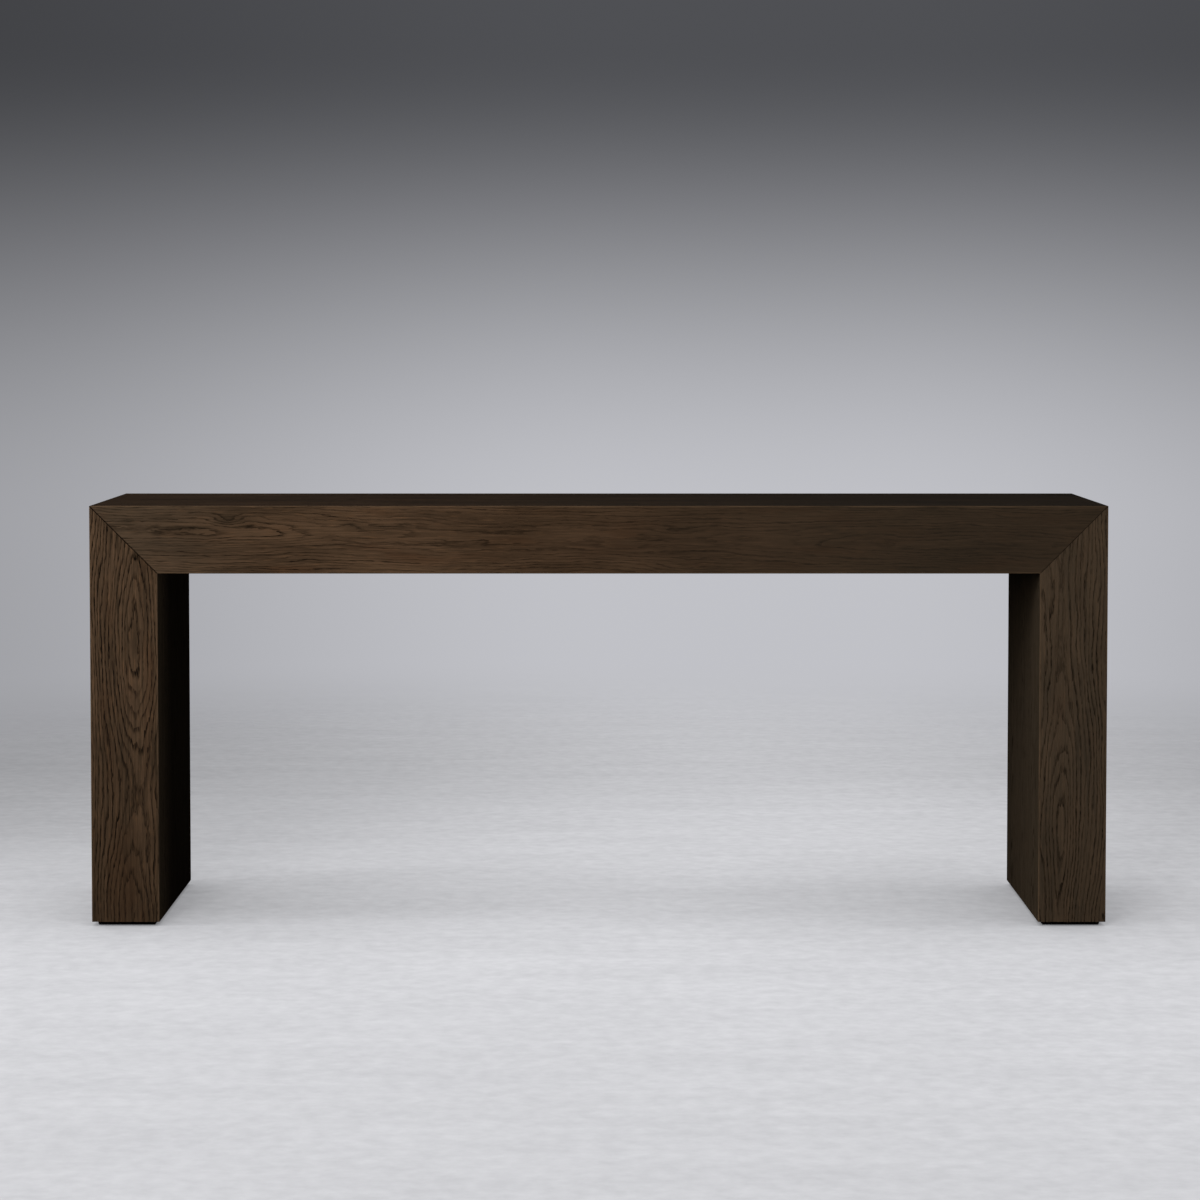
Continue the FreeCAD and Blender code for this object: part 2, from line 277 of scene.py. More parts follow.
# Colour of the rings' dark bands, and of painted shade laid over some boards
OAK_RING_AND_SHADE = display_colour(23, 16, 9)
# Colour of the pores and the leaf seams, and of the painted shade in the mitre grooves
OAK_PORE_AND_SHADE = display_colour(11, 8, 5)
OAK_STAIN = display_colour(28, 23, 16)

# Colour of the wood between the rings
CLOUDS = Lumps(across=46.0, along=240.0, offset=8.9, detail=3.0, strength=0.7)
STRANDS = Lumps(across=4.0, along=130.0, offset=5.1, detail=1.0, strength=0.45)
FIBRE = Lumps(across=2.0, along=60.0, offset=4.3)
FIBRE_IN_TONE = 0.55
WARMTH = Lumps(across=28.0, along=150.0, offset=9.7, starts=0.0, full=0.5)
WARMTH_SHARE = 0.45
FLECKS = Lumps(across=2.4, along=30.0, offset=6.1, detail=1.0, starts=0.15, full=0.5)
FLECKS_SHARE = 0.5

# Unevenness of the rings: how far the log's heart wanders and the rings are pushed
HEART_WANDER = Lumps(across=1.0, along=420.0, detail=1.0, strength=14.0)
RING_WAVES = Lumps(across=32.0, along=190.0, offset=3.1, detail=1.0, strength=9.0)
RING_RIPPLES = Lumps(across=9.0, along=55.0, offset=7.7, strength=3.2)
RING_JITTER = Lumps(across=2.4, along=14.0, offset=5.9, detail=1.0, strength=1.0)

# The dark band that starts a ring, in shares of the ring's width; its vigour changes from ring to ring
BAND_RISEN = 0.07
BAND_FADES = 0.12
BAND_GONE = 0.52
BAND_VIGOUR = Lumps(across=1.3, along=240.0, offset=1.7, starts=-0.30, full=0.35)
BAND_SHARE = 0.55
STAIN_IN_BAND = 0.8

# Open pores, whose length is counted in a board's dashes
SHORT_PORES = Lumps(across=1.9, along=1.0, offset=2.9, detail=1.0, starts=-0.10, full=0.20)
LONG_PORES = Lumps(across=1.1, along=2.2, offset=6.7, detail=1.0, starts=0.05, full=0.32)
LONG_PORES_SHARE = 0.8
PORES_OFF_BAND = 0.12
PORES_SHARE = 0.90

# Relief and roughness
GRAIN_DEPTH = 0.00025
FIBRE_RISES = 0.08
BAND_SINKS = 0.25
PORES_SINK = 0.5
OAK_ROUGHNESS = 0.90
BAND_ROUGHER = 0.06
PORES_ROUGHER = 0.04
FIBRE_SMOOTHER = 0.05

# Joints, leaves, painted shade in the mitres, and edges that are worn and carry a painted highlight
MITRE_LINE_HALF_WIDTH = 1.3
MITRE_LINE_CORE = 0.52
MITRE_LINE_SHARE_LEFT = 0.95
MITRE_LINE_SHARE_RIGHT = 0.5
SEAM_HALF_WIDTH = 0.35
SEAM_SHARE = 0.6
LEAF_SHIFT = 310.0
LEAF_SETS_APART = 5.3
WEAR_AND_HIGHLIGHT_REACH = 3.2
WEAR_AND_HIGHLIGHT_FULL = 0.4
WEAR_AND_HIGHLIGHT_PATCHES = Lumps(across=20.0, along=110.0, offset=9.1, starts=-0.4, full=0.4)
WEAR_AND_HIGHLIGHT_LEAST = 0.1
WEAR_AND_HIGHLIGHT_MOST = 0.5


@dataclass
class Axis:
    """A direction on a board, read from the table's frame."""

    name: str
    sign: float = 1.0
    offset: float = 0.0

    def read(self, place):
        value = place["xyz".index(self.name)]
        return value * self.sign + self.offset


@dataclass
class Knot:
    """A dark spot that the rings swerve round; a broad one without stain makes them flare."""

    along: float
    across: float
    length: float
    width: float
    swerve: float
    stain: float


@dataclass
class Drift:
    """A colour laid over a board, whose share changes slowly from one place along it to another; it
    serves for tones of the wood, for painted shade and for a painted tint of cool light.
    """

    colour: tuple
    start: float
    end: float
    share_at_start: float
    share_at_end: float


def even_layer(colour, share):
    """A colour laid over a whole board alike; it serves for tones of the wood, for painted shade and for
    a painted tint of cool light.
    """
    return Drift(colour, start=0.0, end=1.0, share_at_start=share, share_at_end=share)


@dataclass
class Figure:
    """How one board was cut from its log.

    The log's heart lies at a depth under the board's face, its crown to one side of the middle, with
    some lean. The depth swings over a period and is least at the eye, once or, if it repeats, again and
    again. A ring has a width, and a pore is a dash of some length. Vigour is the least strength of the
    rings' dark bands. Tones of the wood and some painted shade drift under the rings, and more painted
    shade lies over them as haze. A corner is a place along the board where its grain turns over an edge,
    and a wide board is laid in several leaves of veneer.
    """

    seed: float
    crown: float = 0.0
    lean: float = 0.0
    eye: float = 0.0
    eye_period: float = 900.0
    repeats: bool = True
    swing: float = 14.0
    depth: float = 26.0
    ring: float = 6.5
    contrast: float = 1.0
    dash: float = 14.0
    vigour: float = 0.3
    gloss: float = 0.01
    corner: float = 0.0
    drift: tuple = ()
    haze: tuple = ()
    leaves: int = 1
    knots: tuple = ()


def veneer_leaf(graph, across, width, figure):
    """Number of the veneer leaf under a point, the distance from its middle, and its width."""
    leaf_width = width / figure.leaves
    steps = across / leaf_width + figure.leaves / 2
    leaf = graph.math("FLOOR", steps)
    from_middle = (steps - leaf - 0.5) * leaf_width
    return leaf, from_middle, leaf_width


def knot_field(graph, spot, figure):
    """How far the rings are pushed aside by knots, and how dark the knots stain the wood."""
    swerve = 0.0
    stain = 0.0
    for knot in figure.knots:
        run = (spot.along - knot.along) / knot.length
        rise = (spot.across - knot.across) / knot.width
        bell = graph.math("EXPONENT", 0.0 - (run * run + rise * rise))
        swerve = bell * knot.swerve + swerve
        stain = bell * knot.stain + stain
    return swerve, stain


def growth_rings(graph, spot, figure, swerve):
    """Distance through the log at each point, counted in rings."""
    turn = (spot.along - figure.eye) * (2.0 * math.pi / figure.eye_period)
    if not figure.repeats:
        turn = graph.math("MINIMUM", graph.absolute(turn), math.pi)
    depth = figure.depth - graph.math("COSINE", turn) * figure.swing
    wander = graph.noise(HEART_WANDER, Spot(spot.along, 0.0, spot.third))
    aside = spot.across - spot.along * figure.lean - figure.crown - wander
    from_heart = graph.distance(aside, depth)
    for lumps in (RING_WAVES, RING_RIPPLES, RING_JITTER):
        from_heart = from_heart + graph.noise(lumps, spot)
    return (from_heart + swerve) / figure.ring


def early_wood(graph, spot, rings, stain, figure):
    """The dark porous band that starts each ring, and the open pores, which lie mostly in it."""
    phase = graph.math("FRACT", rings)
    band = graph.fade(phase, 0.0, BAND_RISEN) * graph.fade(phase, BAND_GONE, BAND_FADES)
    vigour = graph.patches(BAND_VIGOUR, Spot(spot.along, rings, spot.third), least=figure.vigour)
    band = graph.clamp(band * (vigour + stain * STAIN_IN_BAND))
    in_dashes = Spot(spot.along / figure.dash, spot.across, spot.third)
    short = graph.patches(SHORT_PORES, in_dashes)
    long = graph.patches(LONG_PORES, in_dashes, most=LONG_PORES_SHARE)
    crowding = band * (1.0 - PORES_OFF_BAND) + PORES_OFF_BAND
    return band, graph.math("MAXIMUM", short, long) * crowding


def bare_wood(graph, spot, fibre, contrast):
    """Colour of the wood between the rings: clouded and stranded, with red patches and golden flecks."""
    clouds = graph.noise(CLOUDS, spot)
    strands = graph.noise(STRANDS, spot)
    tone = graph.share(clouds + (fibre * FIBRE_IN_TONE + strands) * contrast)
    wood = graph.blend(tone, OAK_DEEP, OAK_PALE)
    wood = graph.blend(graph.patches(WARMTH, spot, most=WARMTH_SHARE), wood, OAK_RED)
    return graph.blend(graph.patches(FLECKS, spot, most=FLECKS_SHARE * contrast), wood, OAK_GOLD)


def tones_and_shade_laid_on(graph, along, wood, drifts):
    """Wood with slow changes of tone, painted shade and painted cool light laid over it."""
    for drift in drifts:
        share = graph.fade(along, drift.start, drift.end, drift.share_at_start, drift.share_at_end)
        wood = graph.blend(share, wood, drift.colour)
    return wood


def mitre_line(graph, place):
    """Painted shade in the groove of the corner mitres of the front and the back, drawn as a dark line
    that is fainter on the right.
    """
    x, _, z = place
    from_end = table_half - graph.absolute(x)
    from_top = table_top - z
    off_line = graph.absolute(from_end - from_top) / math.sqrt(2.0)
    line = graph.fade(off_line, MITRE_LINE_HALF_WIDTH, MITRE_LINE_CORE)
    return line * graph.fade(x, -table_half, table_half, MITRE_LINE_SHARE_LEFT, MITRE_LINE_SHARE_RIGHT)


def seam_line(graph, from_middle, leaf_width):
    """Fine dark line where two leaves of veneer meet."""
    edge = leaf_width / 2
    return graph.fade(graph.absolute(from_middle), edge - SEAM_HALF_WIDTH, edge, 0.0, SEAM_SHARE)


def worn_and_highlit_edge(graph, spot, width, figure):
    """Share of pale wood, in patches, along a board's two long edges and over its corners: partly wood
    rubbed bare, partly a painted highlight on the arrises.
    """
    edge = width / 2
    rubbed_and_lit = graph.fade(graph.absolute(spot.across), edge - WEAR_AND_HIGHLIGHT_REACH, edge - WEAR_AND_HIGHLIGHT_FULL)
    if figure.corner > 0.0:
        to_corner = graph.absolute(graph.absolute(spot.along) - figure.corner)
        rubbed_and_lit = graph.math("MAXIMUM", rubbed_and_lit, graph.fade(to_corner, WEAR_AND_HIGHLIGHT_REACH, WEAR_AND_HIGHLIGHT_FULL))
    return rubbed_and_lit * graph.patches(WEAR_AND_HIGHLIGHT_PATCHES, spot, WEAR_AND_HIGHLIGHT_LEAST, WEAR_AND_HIGHLIGHT_MOST)


def oak_material(name, along_axis, across_axis, width, figure):
    """Open-pored oak veneer, smoked dark and oiled, with the figure of one board."""
    material, graph = new_material(name)
    place = graph.place_in_mm()
    along = along_axis.read(place)
    across = across_axis.read(place)
    leaf, from_middle, leaf_width = veneer_leaf(graph, across, width, figure)
    third = leaf * LEAF_SETS_APART + figure.seed
    spot = Spot(along, across, third)

    swerve, stain = knot_field(graph, spot, figure)
    rings = growth_rings(graph, Spot(along + leaf * LEAF_SHIFT, from_middle, third), figure, swerve)
    band, pores = early_wood(graph, spot, rings, stain, figure)
    fibre = graph.noise(FIBRE, spot)

    wood = bare_wood(graph, spot, fibre, figure.contrast)
    # Tones of the wood under the rings; on some boards these are painted shade and painted cool light
    wood = tones_and_shade_laid_on(graph, along, wood, figure.drift)
    wood = graph.blend(graph.clamp(band * (BAND_SHARE * figure.contrast)), wood, OAK_RING_AND_SHADE)
    wood = graph.blend(graph.clamp(pores * (PORES_SHARE * figure.contrast)), wood, OAK_PORE_AND_SHADE)
    if figure.knots:
        wood = graph.blend(graph.clamp(stain), wood, OAK_STAIN)
    # Painted shade laid over the rings
    wood = tones_and_shade_laid_on(graph, along, wood, figure.haze)
    # Pale edges: partly wear, partly a painted highlight on the arrises
    wood = graph.blend(worn_and_highlit_edge(graph, spot, width, figure), wood, OAK_WORN_AND_HIGHLIT)
    # Dark lines: real seams between leaves; on the narrow boards, painted shade in the mitre grooves
    if figure.leaves > 1:
        line = seam_line(graph, from_middle, leaf_width)
    else:
        line = mitre_line(graph, place)

    graph.surface(
        base_color=graph.blend(line, wood, OAK_PORE_AND_SHADE),
        roughness=OAK_ROUGHNESS + band * BAND_ROUGHER + pores * PORES_ROUGHER - fibre * FIBRE_SMOOTHER,
        specular_ior_level=figure.gloss,
        normal=graph.bump(fibre * FIBRE_RISES - band * BAND_SINKS - pores * PORES_SINK, GRAIN_DEPTH),
    )
    return material


# Other materials


@dataclass
class Coat:
    """Two colours, roughness, gloss and relief of a plain material; the relief is in metres."""

    first: tuple
    second: tuple
    roughness: float
    relief: float
    gloss: float = 0.5


PLYWOOD = Coat(
    first=display_colour(168, 134, 92),
    second=display_colour(214, 186, 146),
    roughness=0.70,
    relief=0.0001,
    gloss=0.3,
)
PLY_THICKNESS = 1.4
PLY_TURNS = (0.4, 0.6)
PLY_TONES = (0.30, 0.70)
PLY_GRAIN = Lumps(across=1.2, along=40.0, detail=3.0)
PLY_GRAIN_IN_TONE = 0.35
PLY_GRAIN_ROUGHER = 0.1
PLY_CLOUDS = Lumps(across=30.0, along=90.0, offset=4.0, strength=0.3)

PINE = Coat(
    first=display_colour(214, 182, 132),
    second=display_colour(178, 130, 80),
    roughness=0.66,
    relief=0.00015,
    gloss=0.3,
)
PINE_RING = 4.0
BEECH = Coat(
    first=display_colour(206, 168, 126),
    second=display_colour(176, 132, 94),
    roughness=0.66,
    relief=0.00015,
    gloss=0.3,
)
BEECH_RING = 2.2
TIMBER_RING_SLANT = 0.6
TIMBER_WANDER = Lumps(across=30.0, along=300.0)
TIMBER_GRAIN = Lumps(across=0.9, along=45.0, offset=2.0, detail=3.0)
TIMBER_GRAIN_IN_TONE = 0.3
TIMBER_GRAIN_ROUGHER = 0.1
TIMBER_GRAIN_RISES = 0.4
LATE_WOOD_STARTS = 0.2
LATE_WOOD_FULL = 0.95
LATE_WOOD_IN_TONE = 0.7
LATE_WOOD_RISES = 0.3

# How fast the grain of the hidden timber changes through its thickness
CHANGES_THROUGH = 0.02

STEEL = Coat(
    first=display_colour(190, 194, 198),
    second=display_colour(216, 218, 214),
    roughness=0.36,
    relief=0.000025,
)
SPANGLE = Lumps(across=3.0, along=3.0, detail=3.0)
SPANGLE_DEPTH = 3.0
SPANGLE_IN_TONE = 0.6
SPANGLE_ROUGHER = 0.12
SCRATCHES = Lumps(across=0.4, along=6.0, offset=1.0)
SCRATCHES_ROUGHER = 0.08

LACQUER = Coat(
    first=display_colour(5, 5, 5),
    second=display_colour(11, 10, 9),
    roughness=0.62,
    relief=0.00005,
    gloss=0.01,
)
LACQUER_GRAIN = Lumps(across=1.6, along=45.0, detail=3.0)
LACQUER_GRAIN_DEPTH = 20.0
LACQUER_GRAIN_IN_TONE = 0.4
LACQUER_GRAIN_ROUGHER = 0.06
LACQUER_HAZE = Lumps(across=40.0, along=60.0, offset=5.0)
LACQUER_HAZE_IN_TONE = 0.4
LACQUER_HAZE_ROUGHER = 0.1

FELT = Coat(
    first=display_colour(7, 7, 8),
    second=display_colour(24, 24, 25),
    roughness=0.95,
    relief=0.0002,
    gloss=0.1,
)
FELT_SHEEN = 0.15
FLUFF = Lumps(across=0.7, along=0.7, detail=4.0, roughness=0.7)
FLUFF_DEPTH = 2.5
FLUFF_IN_TONE = 0.5
MATTING = Lumps(across=6.0, along=6.0, offset=3.0)
MATTING_IN_TONE = 0.3
MATTING_SMOOTHER = 0.05


def plywood_material(name, normal):
    """Birch plywood with its plies stacked along the board's normal."""
    material, graph = new_material(name)
    x, y, z = graph.place_in_mm()
    through = x * normal.x + y * normal.y + z * normal.z
    sideways = x * normal.z - z * normal.x
    ply = graph.math("PINGPONG", through, PLY_THICKNESS) / PLY_THICKNESS
    grain = graph.noise(PLY_GRAIN, Spot(y, sideways, through * CHANGES_THROUGH))
    clouds = graph.noise(PLY_CLOUDS, Spot(y, sideways))
    tone = graph.clamp(grain * PLY_GRAIN_IN_TONE + clouds + graph.fade(ply, *PLY_TURNS, *PLY_TONES))
    graph.surface(
        base_color=graph.blend(tone, PLYWOOD.first, PLYWOOD.second),
        roughness=PLYWOOD.roughness + grain * PLY_GRAIN_ROUGHER,
        specular_ior_level=PLYWOOD.gloss,
        normal=graph.bump(grain, PLYWOOD.relief),
    )
    return material


def sawn_timber_material(name, along_axis, coat, ring):
    """Straight-grained solid timber, with rings that run along one axis."""
    material, graph = new_material(name)
    place = graph.place_in_mm()
    along = place["xyz".index(along_axis)]
    across, through = [value for value, axis in zip(place, "xyz") if axis != along_axis]
    wander = graph.noise(TIMBER_WANDER, Spot(along, across, through * CHANGES_THROUGH)) * ring
    phase = graph.math("FRACT", (across + through * TIMBER_RING_SLANT + wander) / ring)
    late = graph.fade(phase, LATE_WOOD_STARTS, LATE_WOOD_FULL)
    grain = graph.noise(TIMBER_GRAIN, Spot(along, across + through))
    tone = graph.clamp(late * LATE_WOOD_IN_TONE + grain * TIMBER_GRAIN_IN_TONE)
    graph.surface(
        base_color=graph.blend(tone, coat.first, coat.second),
        roughness=coat.roughness + grain * TIMBER_GRAIN_ROUGHER,
        specular_ior_level=coat.gloss,
        normal=graph.bump(late * LATE_WOOD_RISES + grain * TIMBER_GRAIN_RISES, coat.relief),
    )
    return material


def steel_material(name):
    """Bright zinc plating with a faint spangle."""
    material, graph = new_material(name)
    x, y, z = graph.place_in_mm()
    spangle = graph.noise(SPANGLE, Spot(y, x, z / SPANGLE_DEPTH))
    scratches = graph.noise(SCRATCHES, Spot(y, x + z))
    tone = graph.share(spangle * SPANGLE_IN_TONE)
    graph.surface(
        base_color=graph.blend(tone, STEEL.first, STEEL.second),
        metallic=1.0,
        roughness=STEEL.roughness + spangle * SPANGLE_ROUGHER + scratches * SCRATCHES_ROUGHER,
        specular_ior_level=STEEL.gloss,
        normal=graph.bump(scratches, STEEL.relief),
    )
    return material


def lacquer_material(name):
    """Matte black lacquer that lets the wood's grain show faintly."""
    material, graph = new_material(name)
    x, y, z = graph.place_in_mm()
    grain = graph.noise(LACQUER_GRAIN, Spot(y, x, z / LACQUER_GRAIN_DEPTH))
    haze = graph.noise(LACQUER_HAZE, Spot(y, x))
    tone = graph.share(grain * LACQUER_GRAIN_IN_TONE + haze * LACQUER_HAZE_IN_TONE)
    graph.surface(
        base_color=graph.blend(tone, LACQUER.first, LACQUER.second),
        roughness=LACQUER.roughness + haze * LACQUER_HAZE_ROUGHER + grain * LACQUER_GRAIN_ROUGHER,
        specular_ior_level=LACQUER.gloss,
        normal=graph.bump(grain, LACQUER.relief),
    )
    return material


def felt_material(name):
    """Pressed black wool felt."""
    material, graph = new_material(name)
    x, y, z = graph.place_in_mm()
    fluff = graph.noise(FLUFF, Spot(y, x + z, z / FLUFF_DEPTH))
    matting = graph.noise(MATTING, Spot(y, x))
    tone = graph.share(fluff * FLUFF_IN_TONE + matting * MATTING_IN_TONE)
    graph.surface(
        base_color=graph.blend(tone, FELT.first, FELT.second),
        roughness=FELT.roughness - matting * MATTING_SMOOTHER,
        specular_ior_level=FELT.gloss,
        sheen_weight=FELT_SHEEN,
        normal=graph.bump(fluff, FELT.relief),
    )
    return material


# Figures of the boards

BEAM_FRONT = Figure(
    seed=1.0,
    crown=3.5,
    lean=-0.02,
    eye=830.0,
    eye_period=1830.0,
    swing=11.0,
    depth=21.0,
    ring=4.6,
    contrast=0.85,
    dash=24.0,
    drift=(
        Drift(OAK_OLIVE, start=-850.0, end=-560.0, share_at_start=0.35, share_at_end=0.0),
        # Painted shade under the rings: darker from left of the middle towards the right
        Drift(OAK_SHADE_BROWN, start=-450.0, end=0.0, share_at_start=0.0, share_at_end=0.10),
    ),
    # Painted shade over the rings: darker and greyer towards the right end
    haze=(
        Drift(OAK_SHADE_BROWN, start=-450.0, end=0.0, share_at_start=0.0, share_at_end=0.28),
        Drift(OAK_SHADE_GREY, start=-200.0, end=600.0, share_at_start=0.02, share_at_end=0.50),
    ),
    knots=(
        Knot(along=-654.0, across=36.0, length=26.0, width=11.0, swerve=11.0, stain=0.50),
        Knot(along=-830.0, across=33.0, length=18.0, width=7.0, swerve=0.0, stain=0.40),
        Knot(along=-768.0, across=38.0, length=30.0, width=7.0, swerve=1.5, stain=0.45),
        Knot(along=-730.0, across=20.0, length=34.0, width=7.0, swerve=2.0, stain=0.40),
        Knot(along=-436.0, across=26.0, length=20.0, width=8.0, swerve=-3.0, stain=0.40),
        Knot(along=-375.0, across=22.0, length=60.0, width=5.0, swerve=2.0, stain=0.40),
        Knot(along=-300.0, across=43.0, length=80.0, width=3.0, swerve=0.0, stain=0.35),
        Knot(along=135.0, across=17.0, length=40.0, width=6.0, swerve=4.0, stain=0.35),
    ),
)
BEAM_BACK = Figure(
    seed=23.0,
    crown=12.0,
    eye=-300.0,
    eye_period=1600.0,
    swing=12.0,
    depth=22.0,
    ring=4.8,
    contrast=0.85,
    dash=24.0,
    knots=(Knot(along=410.0, across=-22.0, length=30.0, width=10.0, swerve=9.0, stain=0.45),),
)
LEFT_LEG_FRONT = Figure(
    seed=41.0,
    crown=20.0,
    eye=517.0,
    eye_period=590.0,
    repeats=False,
    swing=16.0,
    ring=5.8,
    contrast=1.25,
    vigour=0.5,
    drift=(even_layer(OAK_OLIVE, 0.13),),
    # Painted shade: the board gets darker towards the floor
    haze=(Drift(OAK_RING_AND_SHADE, start=40.0, end=480.0, share_at_start=0.36, share_at_end=0.02),),
    knots=(
        Knot(along=517.0, across=18.0, length=34.0, width=6.0, swerve=0.0, stain=0.5),
        Knot(along=-20.0, across=-2.0, length=170.0, width=70.0, swerve=-17.0, stain=0.0),
    ),
)
RIGHT_LEG_FRONT = Figure(
    seed=57.0,
    crown=-22.0,
    eye=90.0,
    eye_period=820.0,
    repeats=False,
    swing=16.0,
    depth=23.0,
    ring=6.0,
    contrast=0.95,
    dash=13.0,
    vigour=0.35,
    drift=(even_layer(OAK_OLIVE, 0.5),),
    # Painted shade: the board gets darker towards the floor
    haze=(Drift(OAK_RING_AND_SHADE, start=40.0, end=300.0, share_at_start=0.14, share_at_end=0.0),),
    knots=(Knot(along=10.0, across=20.0, length=140.0, width=60.0, swerve=22.0, stain=0.0),),
)
LEFT_LEG_BACK = Figure(seed=71.0, crown=-12.0, eye=380.0, eye_period=900.0, swing=18.0, ring=6.6)
RIGHT_LEG_BACK = Figure(seed=83.0, crown=16.0, eye=640.0, eye_period=760.0, swing=17.0, ring=6.8)
OUTSIDE = Figure(
    seed=97.0,
    eye=-420.0,
    eye_period=1500.0,
    swing=17.0,
    ring=6.2,
    gloss=0.08,
    # Painted shade: the top and the outer boards are darkened all over, and greyed more towards the right
    # end
    haze=(
        even_layer(OAK_RING_AND_SHADE, 0.28),
        Drift(OAK_SHADE_GREY, start=-500.0, end=600.0, share_at_start=0.05, share_at_end=0.50),
    ),
    corner=table_half,
    leaves=3,
)
INSIDE = Figure(
    seed=113.0,
    eye=260.0,
    eye_period=1350.0,
    swing=17.0,
    depth=27.0,
    ring=6.0,
    gloss=0.0,
    # Painted light and shade: an olive tint for cool bounce light, and painted shade that darkens the
    # inner boards all over
    drift=(even_layer(OAK_OLIVE, 0.75),),
    haze=(even_layer(OAK_RING_AND_SHADE, 0.30),),
    leaves=3,
)

# Dressing the pieces


def wear(node, material):
    """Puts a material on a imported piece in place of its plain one."""
    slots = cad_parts[node].data.materials
    slots.clear()
    slots.append(material)


def dress_oak():
    """Gives each veneered board its figure.

    The grain of the top runs over the corners into the outer boards of the legs, and the grain of its
    underside into the inner boards.
    """
    length = Axis("x")
    depth = Axis("y")
    height = Axis("z")
    beam_height = Axis("z", offset=-beam_middle)
    left_width = Axis("x", offset=-leg_middle)
    right_width = Axis("x", offset=leg_middle)
    over_left = Axis("z", offset=-table_half - table_top)
    over_right = Axis("z", sign=-1.0, offset=table_half + table_top)
    under_left = Axis("z", offset=-soffit_half - soffit_height)
    under_right = Axis("z", sign=-1.0, offset=soffit_half + soffit_height)
    cuts = {
        "top_front_panel": (length, beam_height, section, BEAM_FRONT),
        "top_back_panel": (length, beam_height, section, BEAM_BACK),
        "left_leg_front_panel": (height, left_width, section, LEFT_LEG_FRONT),
        "right_leg_front_panel": (height, right_width, section, RIGHT_LEG_FRONT),
        "left_leg_back_panel": (height, left_width, section, LEFT_LEG_BACK),
        "right_leg_back_panel": (height, right_width, section, RIGHT_LEG_BACK),
        "top_panel": (length, depth, table_depth, OUTSIDE),
        "left_leg_outer_panel": (over_left, depth, table_depth, OUTSIDE),
        "right_leg_outer_panel": (over_right, depth, table_depth, OUTSIDE),
        "top_soffit_panel": (length, depth, table_depth, INSIDE),
        "left_leg_inner_panel": (under_left, depth, table_depth, INSIDE),
        "right_leg_inner_panel": (under_right, depth, table_depth, INSIDE),
    }
    for node, cut in cuts.items():
        wear(node, oak_material("smoked_oak_" + node, *cut))


def dress_inner_pieces():
    """Materials of the framing, fasteners and feet, shared by the pieces of a kind."""
    to_the_left = plywood_material("plywood_left_mitre", Vector((-1.0, 0.0, 1.0)).normalized())
    to_the_right = plywood_material("plywood_right_mitre", Vector((1.0, 0.0, 1.0)).normalized())
    on_edge = plywood_material("plywood_on_edge", Vector((1.0, 0.0, 0.0)))
    lying = plywood_material("plywood_lying", Vector((0.0, 0.0, 1.0)))
    long_pine = sawn_timber_material("pine_lengthwise", "x", PINE, PINE_RING)
    upright_pine = sawn_timber_material("pine_upright", "z", PINE, PINE_RING)
    beech = sawn_timber_material("beech", "z", BEECH, BEECH_RING)
    steel = steel_material("zinc_plated_steel")
    lacquer = lacquer_material("black_lacquer")
    felt = felt_material("black_felt")

    wear("top_left_bulkhead", to_the_left)
    wear("top_right_bulkhead", to_the_right)
    wear("top_corner_battens", long_pine)
    wear("top_ribs", on_edge)
    for side, mitre in (("left", to_the_left), ("right", to_the_right)):
        wear(f"{side}_leg_bulkhead", mitre)
        wear(f"{side}_mitre_tongues", mitre)
        wear(f"{side}_leg_corner_battens", upright_pine)
        wear(f"{side}_leg_ribs", lying)
        wear(f"{side}_leg_base_board", lying)
        wear(f"{side}_corner_dowels", beech)
        wear(f"{side}_foot_plinth", lacquer)
        wear(f"{side}_foot_felt", felt)
        for fastener in ("plinth_screws", "corner_bolts", "corner_washers", "corner_tee_nuts"):
            wear(f"{side}_{fastener}", steel)


# Studio lights, in metres and watts


@dataclass
class Softbox:
    """A rectangular soft light that shines from its place towards a target."""

    name: str
    place: tuple
    target: tuple
    width: float
    height: float
    power: float
    colour: tuple = (1.0, 1.0, 1.0)
    shows_in_gloss: bool = False


KEY = Softbox(
    name="key",
    place=(-1.3, -4.3, 2.4),
    target=(-0.3, 0.0, 0.60),
    width=1.7,
    height=3.0,
    power=217.0,
    colour=(1.0, 0.99, 0.97),
    shows_in_gloss=True,
)
RIGHT_FILL = Softbox(
    name="right_fill",
    place=(4.8, -0.18, 0.5),
    target=(0.9, 0.0, 0.4),
    width=0.8,
    height=0.5,
    power=114.0,
)
LEFT_FILL = Softbox(
    name="left_fill",
    place=(-4.2, -0.9, 1.5),
    target=(0.5, 0.0, 0.3),
    width=1.0,
    height=0.6,
    power=110.0,
)
BACK_LIGHT_STRENGTH = 2.1
BACK_LIGHT_DEGREES_WIDE = 5.0
BACK_LIGHT_DIRECTION = (0.0, -1.0, -0.025)


def hang_lamp(light, place, direction, shows_in_gloss):
    """Hangs a light at a place, where it shines in a direction."""
    lamp = bpy.data.objects.new(light.name, light)
    lamp.location = place
    lamp.rotation_euler = direction.to_track_quat("-Z", "Y").to_euler()
    lamp.visible_camera = False
    lamp.visible_glossy = shows_in_gloss
    bpy.context.collection.objects.link(lamp)


def make_softbox(softbox):
    light = bpy.data.lights.new(softbox.name, "AREA")
    light.shape = "RECTANGLE"
    light.size = softbox.width
    light.size_y = softbox.height
    light.energy = softbox.power
    light.color = softbox.colour
    towards = Vector(softbox.target) - Vector(softbox.place)
    hang_lamp(light, softbox.place, towards, softbox.shows_in_gloss)


def make_back_light():
    """A distant light from straight behind, so low that it grazes the sides of the legs and the floor."""
    light = bpy.data.lights.new("back_fill", "SUN")
    light.energy = BACK_LIGHT_STRENGTH
    light.angle = math.radians(BACK_LIGHT_DEGREES_WIDE)
    hang_lamp(light, (0.0, 0.0, 0.0), Vector(BACK_LIGHT_DIRECTION), False)


